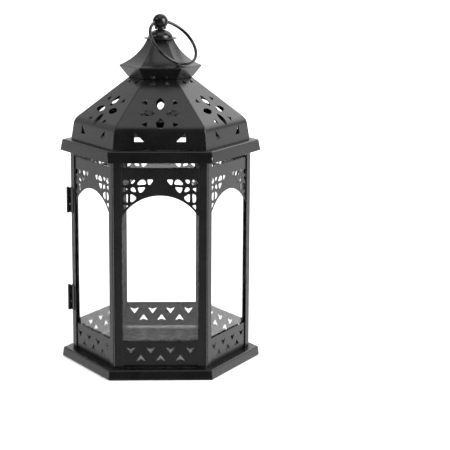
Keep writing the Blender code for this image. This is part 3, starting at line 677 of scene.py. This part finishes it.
def corner_posts():
    low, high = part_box("post_right")
    outline = post_outline(high.x)
    for name, degrees in POSTS.items():
        turn = Matrix.Rotation(math.radians(degrees), 4, "Z")
        post = prism(f"post_{name}_form", outline, low.z, high.z, turn)
        as_piece(soften(post, POST_EDGE, angle=40), f"post_{name}")


def rosette_holes():
    """The left rosette's cut-outs in millimetres, across and up the face, with each one's rounding."""
    ring = (arc((-41.7, 246.0), 3.6, 0, 345, 24), 0.2)
    upper_row = [
        ([(-36.8, 249.4), (-29.1, 249.5), (-34.2, 243.4)], 1.3),
        ([(-29.3, 242.8), (-24.6, 248.4), (-21.2, 249.8),
          (-18.3, 248.3), (-17.2, 245.6), (-17.5, 243.7)], 1.4),
        ([(-15.4, 249.7), (-8.7, 249.7), (-8.9, 247.6), (-12.2, 243.3), (-14.5, 243.4)], 1.0),
    ]
    middle_row = [
        ([(-44.9, 240.4), (-39.0, 238.3), (-44.8, 233.1)], 0.7),
        ([(-33.4, 240.3), (-35.9, 238.1), (-34.9, 235.8), (-28.0, 233.1), (-31.3, 239.5)], 1.3),
        ([(-27.3, 239.8), (-18.3, 240.4), (-18.9, 238.1),
          (-21.2, 235.0), (-23.7, 233.3), (-25.4, 234.3)], 1.0),
    ]
    lower_rows = [
        ([(-39.0, 232.7), (-39.6, 221.3), (-41.9, 221.4),
          (-44.4, 224.1), (-44.7, 227.1), (-43.1, 230.5)], 1.5),
        ([(-35.9, 231.7), (-33.9, 231.3), (-28.9, 227.9),
          (-30.2, 224.9), (-33.4, 222.2), (-35.9, 222.0)], 1.2),
        ([(-44.2, 218.6), (-38.7, 217.7), (-44.2, 211.3)], 0.6),
    ]
    return [ring, *upper_row, *middle_row, *lower_rows]


def spandrel_holes():
    holes = []
    for outline, radius in rosette_holes():
        line = [(x * MM, y * MM) for x, y in rounded(outline, radius)]
        holes += [line, [(-x, y) for x, y in reversed(line)]]
    return holes


def chevron(across, point_height, direction):
    """A notched arrowhead that points up (1) or down (-1)."""
    wing = point_height - direction * CHEVRON_HEIGHT
    notch = wing + direction * CHEVRON_NOTCH
    left, right = across - CHEVRON_HALF_WIDTH, across + CHEVRON_HALF_WIDTH
    return rounded([(left, wing), (across, notch), (right, wing), (across, point_height)], CHEVRON_CORNER)


def chevron_holes():
    down = [(k - 1.5) * CHEVRON_PITCH for k in range(4)]
    up = [(k - 1) * CHEVRON_PITCH for k in range(3)]
    holes = [chevron(x, UPPER_CHEVRON_TOP - CHEVRON_HEIGHT, -1) for x in down]
    return holes + [chevron(x, LOWER_CHEVRON_BOTTOM + CHEVRON_HEIGHT, 1) for x in up]


def arch(half_width, steps=36):
    """A segmental arch from right to left."""
    rise = ARCH_TOP - SPRING
    radius = (half_width ** 2 + rise ** 2) / (2 * rise)
    lean = math.degrees(math.asin(half_width / radius))
    return arc((0, ARCH_TOP - radius), radius, 90 - lean, 90 + lean, steps)


def fixed_plate(node, degrees, outline_in, holes):
    """A plate whose outer face is the CAD's, with the outline that fits into the node's box."""
    low, high = face_box(node, degrees)
    levels = (high.z - PLATE_SHEET, high.z)
    as_piece(punched(f"{node}_form", outline_in(low, high), holes, degrees, *levels), node)


def spandrel_outline(low, high):
    outline = [(high.x, low.y), (high.x, high.y), (low.x, high.y), (low.x, low.y)]
    return outline + arch(ARCH_HALF_WIDTH)[::-1]


def sill_outline(low, high):
    return rectangle(low.x, high.x, low.y, high.y)


def fixed_plates():
    for name, degrees in FACES.items():
        fixed_plate(f"spandrel_{name}", degrees, spandrel_outline, spandrel_holes())
        fixed_plate(f"sill_{name}", degrees, sill_outline, chevron_holes())


def glass_channel(node, degrees, half_opening, skirt):
    """Two upright channels and one along the bottom, folded from strip and mitred.

    The bottom one reaches lower than the CAD's by the skirt, and so closes the slit under the sill.
    """
    low, high = face_box(node, degrees)
    sheet, depth = CHANNEL_SHEET, CHANNEL_DEPTH
    back, foot = high.z - depth, low.y - skirt
    side, rise = high.x - half_opening, CHANNEL_LEG + skirt
    # inwards from the side, up from the foot, and out of the face
    section = [
        (0, 0, 0), (side, rise, 0), (side, rise, sheet), (sheet, sheet, sheet),
        (sheet, sheet, depth - sheet), (side, rise, depth - sheet), (side, rise, depth), (0, 0, depth),
    ]
    rings = []
    for side_sign, level, slope in ((-1, high.y, 0), (-1, foot, 1), (1, foot, 1), (1, high.y, 0)):
        rings.append([(side_sign * (high.x - s), level + slope * r, back + d) for s, r, d in section])
    points, faces = loft(rings, False)
    obj = tidy_mesh(mesh_object(f"{node}_form", points, faces, face_matrix(degrees)))
    as_piece(soften(obj, CHANNEL_EDGE), node)


def glass_pane(node, frame_node, degrees):
    """A pane as wide and as high as the CAD's, in the middle of its channel."""
    low, high = face_box(node, degrees)
    middle = face_box(frame_node, degrees)[1].z - CHANNEL_DEPTH / 2
    levels = (middle - GLASS_THICKNESS / 2, middle + GLASS_THICKNESS / 2)
    outline = rectangle(low.x, high.x, low.y, high.y)
    as_piece(soften(prism(f"{node}_form", outline, *levels, face_matrix(degrees)), GLASS_EDGE), node)


def glazing():
    for name, degrees in FACES.items():
        skirt = BACK_SKIRT if name == "back" else CHANNEL_SKIRT
        glass_channel(f"glass_frame_{name}", degrees, CHANNEL_HALF_OPENING, skirt)
        glass_pane(f"glass_{name}", f"glass_frame_{name}", degrees)
    glass_channel("door_glass_frame", DOOR_NORMAL, DOOR_CHANNEL_HALF_OPENING, DOOR_SKIRT)
    glass_pane("door_glass", "door_glass_frame", DOOR_NORMAL)


# ---- door, hinges and latch ----

def door():
    low, high = face_box("door_panel", DOOR_NORMAL)
    side = DOOR_HALF_WINDOW
    window = [(side, SILL_TOP), *arch(side), (-side, SILL_TOP)]
    holes = [window, *spandrel_holes(), *chevron_holes()]
    outline = rounded(rectangle(low.x, high.x, low.y, high.y), DOOR_CORNER)
    as_piece(punched("door_panel_form", outline, holes, DOOR_NORMAL, low.z, high.z), "door_panel")


def curl(name, inner, sheet, tail, low, high, matrix):
    """A strip rolled 310 degrees round a pin on local z, with its tail running off along +x."""
    middle = inner + sheet / 2
    line = [(tail, -middle)] + arc((0, 0), middle, -90, -90 - 310, 26)
    outer = offset_line(line, sheet / 2)
    return prism(name, outer + offset_line(line, -sheet / 2)[::-1], low, high, matrix)


def knuckle_spans(height):
    """Where the post leaf's two knuckles and the door leaf's one run, up from the hinge's foot."""
    first, second = KNUCKLE_SPLITS
    outer = [(0, first - KNUCKLE_PLAY), (second + KNUCKLE_PLAY, height)]
    return outer, [(first + KNUCKLE_PLAY, second - KNUCKLE_PLAY)]


def hinge_leaf(node, side, low, high, spans):
    """A leaf with its knuckles, on the post's side of the pin (-1) or on the door's (1)."""
    pivot = JOINTS["door_swing"]["pos_m"]
    along, out = Vector((0.5, side * COS30, 0)), Vector((-COS30, side * 0.5, 0))
    place = Matrix((along, out, Vector((0, 0, side)))).transposed().to_4x4()
    place.translation = Vector((pivot[0], pivot[1], 0))
    outline = rounded(rectangle(LEAF_START, LEAF_REACH, low.z * side, high.z * side), LEAF_CORNER)
    levels = (-KNUCKLE_BORE - LEAF_SHEET, -KNUCKLE_BORE)
    pieces = [prism("leaf", outline, *levels, place @ SWAP_Y_AND_Z)]
    for start, end in spans:
        heights = sorted(((low.z + start) * side, (low.z + end) * side))
        pieces.append(curl("knuckle", KNUCKLE_BORE, LEAF_SHEET, KNUCKLE_TAIL, *heights, place))
    leaf = tidy_mesh(join(f"{node}_form", pieces))
    as_piece(soften(leaf, HARDWARE_EDGE, angle=40), node)


def hinge_pin(node):
    """A plain pin with a low dome at each end."""
    pivot = JOINTS["door_swing"]["pos_m"]
    low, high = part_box(node)
    quarter = arc((0, 0), 1, -90, 0, 6)
    lower = [(x * PIN_HEAD_RADIUS, low.z + PIN_HEAD * (1 + y)) for x, y in quarter]
    upper = [(r, low.z + high.z - z) for r, z in reversed(lower)]
    shank = [(PIN_RADIUS, low.z + PIN_HEAD), (PIN_RADIUS, high.z - PIN_HEAD)]
    place = Matrix.Translation((pivot[0], pivot[1], 0))
    pin = turned(f"{node}_form", lower[1:] + shank + upper[:-1], segments=24, closed=False, matrix=place)
    as_piece(soften(pin, angle=50), node)


def hinges():
    for label in ("lower", "upper"):
        low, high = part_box(f"hinge_{label}_post_leaf")
        outer, inner = knuckle_spans(high.z - low.z)
        hinge_leaf(f"hinge_{label}_post_leaf", -1, low, high, outer)
        hinge_leaf(f"hinge_{label}_door_leaf", 1, low, high, inner)
        hinge_pin(f"hinge_{label}_pin")


def loop_axis():
    """The loop's turning line in the door's face frame: its place across, mid-height and level."""
    low, high = face_box("latch_loop", DOOR_NORMAL)
    pivot = face_matrix(DOOR_NORMAL).inverted() @ Vector(JOINTS["latch_swing"]["pos_m"])
    return pivot.x, (low.y + high.y) / 2, (low.z + high.z) / 2


def latch_loop():
    low, high = face_box("latch_loop", DOOR_NORMAL)
    near, middle, level = loop_axis()
    half = (high.y - low.y) / 2 - LATCH_WIRE
    corners = rectangle(low.x + LATCH_WIRE, near, middle - half, middle + half)
    outline = rounded(corners, LOOP_CORNER, steps=8)
    path = [face_matrix(DOOR_NORMAL) @ Vector((x, y, level)) for x, y in outline]
    as_piece(wire_loop("latch_loop_form", path, LATCH_WIRE), "latch_loop")


def latch_bracket():
    """A strap on the door, and the barrel rolled round the loop's wire."""
    low, high = face_box("latch_bracket", DOOR_NORMAL)
    near, middle, level = loop_axis()
    place = face_matrix(DOOR_NORMAL)
    face = face_box("door_panel", DOOR_NORMAL)[1].z
    outline = rounded(rectangle(low.x, high.x, low.y, high.y), STRAP_CORNER, steps=5)
    strap = prism("strap", outline, face, face + STRAP_SHEET, place)
    ends = (middle - ROLL_HALF_LENGTH, middle + ROLL_HALF_LENGTH)
    upright = place @ Matrix.Translation((near, 0, level)) @ SWAP_Y_AND_Z
    roll = curl("roll", LATCH_WIRE + ROLL_PLAY, ROLL_SHEET, ROLL_TAIL, *ends, upright)
    bracket = tidy_mesh(join("latch_bracket_form", [strap, roll]))
    as_piece(soften(bracket, HARDWARE_EDGE, angle=40), "latch_bracket")


def latch_keeper():
    """A strip on the back face's flange, bent out past the corner to stand square to the door."""
    low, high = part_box("latch_keeper")
    level = low.y + KEEPER_SHEET / 2
    angle = math.radians(DOOR_NORMAL)
    bend = Vector((KEEPER_BEND, level))
    tip = bend + Vector((math.cos(angle), math.sin(angle))) * KEEPER_TAB
    line = bent([(KEEPER_START, level), tuple(bend), tuple(tip)], KEEPER_BEND_RADIUS)
    outline = offset_line(line, KEEPER_SHEET / 2) + offset_line(line, -KEEPER_SHEET / 2)[::-1]
    keeper = prism("latch_keeper_form", outline, low.z, high.z)
    as_piece(soften(keeper, HARDWARE_EDGE), "latch_keeper")


# ---- roof, cap, finial and ring ----

def slope_matrix(degrees):
    """Local x across a slope, local y down it from the top edge, and local z square to it."""
    run = (Vector(ROOF_CORNER) - Vector(ROOF_TOP)).normalized()
    down = Vector((0, run.y, run.x))
    square = Vector((1, 0, 0)).cross(down)
    local = Matrix((Vector((1, 0, 0)), down, square)).transposed().to_4x4()
    local.translation = Vector((0, ROOF_TOP[1], ROOF_TOP[0]))
    return face_matrix(degrees) @ local


def petal(centre, direction_degrees, steps=14):
    """A pointed oval, from two arcs through its tips."""
    half, belly = PETAL_LENGTH / 2, PETAL_WIDTH / 2
    radius = (half ** 2 + belly ** 2) / (2 * belly)
    lean = math.degrees(math.asin(half / radius))
    side = arc((0, belly - radius), radius, 90 + lean, 90 - lean, steps)
    outline = side + [(x, -y) for x, y in reversed(side[1:-1])]
    cos, sin = math.cos(math.radians(direction_degrees)), math.sin(math.radians(direction_degrees))
    return [(centre[0] + x * cos - y * sin, centre[1] + x * sin + y * cos) for x, y in outline]


def flower_holes():
    """Four petals, to both sides, down and up."""
    reach = PETAL_START + PETAL_LENGTH / 2
    ways = ((1, 0), (-1, 0), (0, 1), (0, -1))
    return [petal((reach * x, FLOWER_DOWN_SLOPE + reach * y), 90 * abs(y)) for x, y in ways]


def slope_holes():
    """The flower, four darts round it and two darts near the top edge."""
    middle = FLOWER_DOWN_SLOPE
    top = middle - TOP_DARTS_APART
    holes = flower_holes()
    for side in (-1, 1):
        for way in (-1, 1):
            dart = [(side * x * MM, middle + way * y * MM) for x, y in SIDE_DART]
            holes.append(rounded(dart, SIDE_DART_CORNER))
        holes.append(rounded([(side * x * MM, top + y * MM) for x, y in TOP_DART], DART_CORNER))
    return holes


def skirt_holes():
    return [rounded([(side * x * MM, z * MM) for x, z in SKIRT_DART], DART_CORNER) for side in (-1, 1)]


def roof_cutter():
    """All the roof's cut-outs as one mesh of plugs, square to the slopes and to the faces below them."""
    points, faces = [], []
    for degrees in range(30, 390, 60):
        groups = (
            (slope_matrix(degrees), slope_holes(), SLOPE_CUT),
            (face_matrix(degrees), skirt_holes(), SKIRT_CUT),
        )
        for matrix, holes, levels in groups:
            for hole in holes:
                ends = [[matrix @ Vector((x, y, level)) for x, y in ccw(hole)] for level in levels]
                new_points, new_faces = loft(ends, False)
                faces += [tuple(i + len(points) for i in face) for face in new_faces]
                points += new_points
    return mesh_object("roof_cutter", points, faces)


def cut_by(obj, cutter):
    """The object without the cutter's volume. The cutter is used up."""
    cut = obj.modifiers.new("cut", "BOOLEAN")
    cut.object = cutter
    cut.solver = "EXACT"
    plain = tidy_mesh(baked(obj))
    bpy.data.objects.remove(cutter, do_unlink=True)
    return plain


def roof():
    profile = bent([ROOF_TOP, ROOF_CORNER, ROOF_FOOT], ROOF_BEND, steps=12)
    inner = offset_line(profile, -ROOF_SHEET)
    shell = hex_shell("roof_form", profile, inner, lambda height: ROOF_RIDGE)
    as_piece(soften(cut_by(shell, roof_cutter()), PUNCHED_EDGE, angle=45, segments=1), "roof")


def collar():
    rim = (COLLAR_TOP[0] + COLLAR_RIM[0], COLLAR_TOP[1] + COLLAR_RIM[1])
    outer = bent([COLLAR_FOOT, COLLAR_TOP, rim], COLLAR_BEND, steps=4)
    inner = offset_line(outer, COLLAR_SHEET)
    shell = hex_shell("cap_collar_form", outer, inner, lambda height: COLLAR_RIDGE)
    as_piece(soften(shell, angle=38), "cap_collar")


def cap_ridge(height):
    """Ridge radius, which grows from the lip to the top."""
    share = (height - CAP_LIP[1]) / (CAP_TOP[1] - CAP_LIP[1])
    return CAP_RIDGES[0] + (CAP_RIDGES[1] - CAP_RIDGES[0]) * min(max(share, 0), 1)


def cap_lines():
    """Outer and inner line of the cap, from a rounded lip up a hollow arc to the hole in its flat top."""
    lip, top = Vector(CAP_LIP), Vector(CAP_TOP)
    chord = top - lip
    across = Vector((-chord.y, chord.x)).normalized()
    middle = (lip + top) / 2 - across * math.sqrt(CAP_ARC ** 2 - (chord.length / 2) ** 2)
    slope = arc_through(middle, lip, top, 24)
    crown, under = CAP_TOP[1] + CAP_CROWN, CAP_TOP[1] - CAP_SHEET
    outer = slope + [(CAP_TOP[0] - CROWN_BEND, crown), (CAP_HOLE, crown)]
    inner = offset_line(slope, CAP_SHEET)[:-1] + [(CAP_TOP[0] - CAP_SHEET, under), (CAP_HOLE, under)]
    corner = (lip.x + LIP_DROP, lip.y - LIP_DROP)
    nose = fillet(inner[0], corner, outer[1], CAP_NOSE, steps=4)
    return nose + outer[1:], inner[1:]


def cap():
    outer, inner = cap_lines()
    as_piece(soften(hex_shell("cap_form", outer, inner, cap_ridge), angle=38), "cap")


def finial_disc():
    low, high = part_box("finial_disc")
    half = (high.z - low.z) / 2
    rim = arc((high.x - half, low.z + half), half, -90, 90, 8)
    disc = turned("finial_disc_form", [(STUD_HOLE, low.z), *rim, (STUD_HOLE, high.z)], segments=96)
    as_piece(soften(disc, angle=50), "finial_disc")


def finial_dome():
    """A hollow dome, open at the top for the stud."""
    low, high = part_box("finial_dome")
    radius, foot = high.x, low.z
    rise = math.degrees(math.asin(DOME_MOUTH / radius))
    stretch = (high.z - foot) / (radius * math.cos(math.radians(rise)))
    outer = [(x, foot + z * stretch) for x, z in arc((0, 0), radius, 0, 90 - rise, 24)]
    inner = [(max(x - DOME_SHEET, STUD_HOLE), foot + max(z - foot - DOME_SHEET, 0)) for x, z in outer]
    dome = turned("finial_dome_form", outer + inner[::-1], segments=96)
    as_piece(soften(dome, angle=50), "finial_dome")


def ball_profile(height, radius, foot):
    """The stud's bore, the bead's arc up to where the two balls meet, and the ball's arc over the top."""
    apart = height - BEAD_HEIGHT
    meet = (apart ** 2 + BEAD_RADIUS ** 2 - radius ** 2) / (2 * apart)
    bead_start = math.degrees(math.asin((foot - BEAD_HEIGHT) / BEAD_RADIUS))
    bead_end = math.degrees(math.asin(meet / BEAD_RADIUS))
    ball_start = -math.degrees(math.asin((apart - meet) / radius))
    profile = [(STUD_HOLE, foot + STUD_HOLE_DEPTH), (STUD_HOLE, foot)]
    profile += arc((0, BEAD_HEIGHT), BEAD_RADIUS, bead_start, bead_end, 14)
    return profile + arc((0, height), radius, ball_start, 89.5, 48)[1:]


def finial_ball():
    """Ball and bead turned in one, bored from below and drilled across for the ring."""
    pivot = JOINTS["ring_swing"]["pos_m"]
    low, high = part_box("finial_ball")
    radius = high.z - pivot[2]
    profile = ball_profile(pivot[2], radius, low.z)
    piece = turned("finial_ball_form", profile, segments=96, closed=False)
    axis = Vector(JOINTS["ring_swing"]["axis"])
    place = Matrix.Translation(Vector(pivot)) @ axis.to_track_quat("Z", "Y").to_matrix().to_4x4()
    flare, straight = CROSS_HOLE * CROSS_HOLE_FLARE, radius * CROSS_HOLE_STRAIGHT
    hole = [(flare, -radius), (CROSS_HOLE, -straight), (CROSS_HOLE, straight), (flare, radius)]
    piece = cut_by(piece, turned("cross_hole", hole, closed=False, matrix=place))
    as_piece(soften(piece, angle=40), "finial_ball")


def ring_handle():
    """A round wire ring through the ball's cross hole, in the plane of the CAD's ring."""
    pivot = Vector(JOINTS["ring_swing"]["pos_m"])
    low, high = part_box("ring_handle")
    centre = (low + high) / 2
    down = (centre - pivot).normalized()
    across = Vector(JOINTS["ring_swing"]["axis"]).normalized()
    across = (across - down * across.dot(down)).normalized()
    radius = (high.z - low.z - 2 * RING_WIRE) / (2 * abs(down.z))
    turns = [math.tau * k / RING_STEPS for k in range(RING_STEPS)]
    path = [centre + (across * math.cos(t) + down * math.sin(t)) * radius for t in turns]
    as_piece(wire_loop("ring_handle_form", path, RING_WIRE, resolution=7), "ring_handle")


def inner_hardware():
    """The stud and its nut are closed in under the cap, so their CAD meshes stay."""
    for node in ("finial_stud", "stud_nut"):
        mesh = frame["nodes"][node].data
        mesh.materials.clear()
        mesh.materials.append(PAINTS["hardware_paint"])


# ---- studio ----

# Lights that only reflections show, in dark surroundings. Each falls from full strength at one
# cosine from its middle to none at the other. The first is even all round.
LOBES = (
    # azimuth, elevation, cosine of full strength, cosine of none, strength
    (90, 0, -1.2, -2.2, 0.04),
    (90, -25, 0.85, 0.10, 0.92),
    (270, -42, 0.94, 0.82, 0.75),
    (30, -20, 0.96, 0.86, 0.85),
    (50, 36, 0.97, 0.85, 1.60),
    (132, 34, 0.97, 0.85, 0.22),
    (150, -16, 0.96, 0.86, 0.36),
    (270, 80, 0.97, 0.82, 1.35),
    (90, 44, 0.985, 0.94, 1.80),
    (207, -14, 0.990, 0.96, 4.00),
    (333, -14, 0.990, 0.96, 4.00),
    (203, 37, 0.990, 0.96, 3.00),
)
DAYLIGHT = 1.75                         # even white light for everything but reflections
LIGHT_AIM = Vector((0, 0, 0.3))
FLOOR_RADIUS = 12
CAMERA_LENS = 120.21                    # millimetres, as is the sensor
CAMERA_SENSOR = 36
CAMERA_REACH = 60
CAMERA_PLACE = (0.0133, -1.8912, 0.5583)
CAMERA_TURN = (78.511, -0.352, -2.021)  # degrees


def direction_to(azimuth, elevation):
    a, e = math.radians(azimuth), math.radians(elevation)
    return Vector((math.cos(a) * math.cos(e), math.sin(a) * math.cos(e), math.sin(e)))


class WorldNodes(Nodes):
    """Short calls for the world's light, in a tree that starts out empty."""

    def __init__(self, tree):
        super().__init__(tree)
        tree.nodes.clear()
        self.direction = self.add("TexCoord").outputs["Generated"]

    def lobe(self, azimuth, elevation, near, far, strength):
        dot = self.add("VectorMath", operation="DOT_PRODUCT")
        dot.inputs[1].default_value = direction_to(azimuth, elevation)
        self.link(self.direction, dot.inputs[0])
        ramp = self.add("MapRange", interpolation_type="SMOOTHSTEP")
        for key, value in (("From Min", far), ("From Max", near), ("To Min", 0), ("To Max", strength)):
            ramp.inputs[key].default_value = value
        self.link(dot.outputs["Value"], ramp.inputs["Value"])
        return ramp.outputs["Result"]

    def total(self, values):
        """The sum of the values."""
        result = values[0]
        for value in values[1:]:
            plus = self.add("Math", operation="ADD")
            self.link(result, plus.inputs[0])
            self.link(value, plus.inputs[1])
            result = plus.outputs["Value"]
        return result

    def white(self):
        node = self.add("Background")
        node.inputs["Color"].default_value = (1, 1, 1, 1)
        return node


def studio_world():
    """Even white light all round, but reflections show the lobes."""
    world = bpy.data.worlds.new("studio")
    bpy.context.scene.world = world
    world.use_nodes = True
    n = WorldNodes(world.node_tree)
    reflected = n.white()
    n.link(n.total([n.lobe(*settings) for settings in LOBES]), reflected.inputs["Strength"])
    even = n.white()
    even.inputs["Strength"].default_value = DAYLIGHT
    choose = n.add("MixShader")
    n.link(n.add("LightPath").outputs["Is Glossy Ray"], choose.inputs["Fac"])
    n.link(even.outputs["Background"], choose.inputs[1])
    n.link(reflected.outputs["Background"], choose.inputs[2])
    n.link(choose.outputs["Shader"], n.add("OutputWorld").inputs["Surface"])


def softbox(name, azimuth, elevation, distance, size, power):
    """A square light that faces the lantern."""
    light = bpy.data.lights.new(name, "AREA")
    light.shape = "SQUARE"
    light.size = size
    light.energy = power
    out = direction_to(azimuth, elevation)
    obj = new_object(name, light)
    obj.location = LIGHT_AIM + out * distance
    obj.rotation_euler = out.to_track_quat("Z", "Y").to_euler()


def floor():
    """A round white floor, which reflections don't show."""
    outline = arc((0, 0), FLOOR_RADIUS, 0, 360, 96)[:-1]
    sheet = mesh_object("floor", [(x, y, 0) for x, y in outline], [tuple(range(len(outline)))])
    sheet.data.materials.append(paper_floor("floor_paper"))
    sheet.visible_glossy = False


def camera():
    data = bpy.data.cameras.new("camera")
    data.lens = CAMERA_LENS
    data.sensor_width = CAMERA_SENSOR
    data.clip_end = CAMERA_REACH
    obj = new_object("camera", data)
    obj.location = CAMERA_PLACE
    obj.rotation_euler = [math.radians(a) for a in CAMERA_TURN]
    bpy.context.scene.camera = obj


def studio():
    camera()
    floor()
    studio_world()
    softbox("key", azimuth=-34, elevation=24, distance=2.2, size=1.4, power=64)
    bpy.context.scene.view_settings.view_transform = "Standard"


def main():
    studio()
    base_tray()
    cornice()
    corner_posts()
    fixed_plates()
    glazing()
    door()
    hinges()
    latch_loop()
    latch_bracket()
    latch_keeper()
    roof()
    collar()
    cap()
    finial_disc()
    finial_dome()
    finial_ball()
    ring_handle()
    inner_hardware()


main()
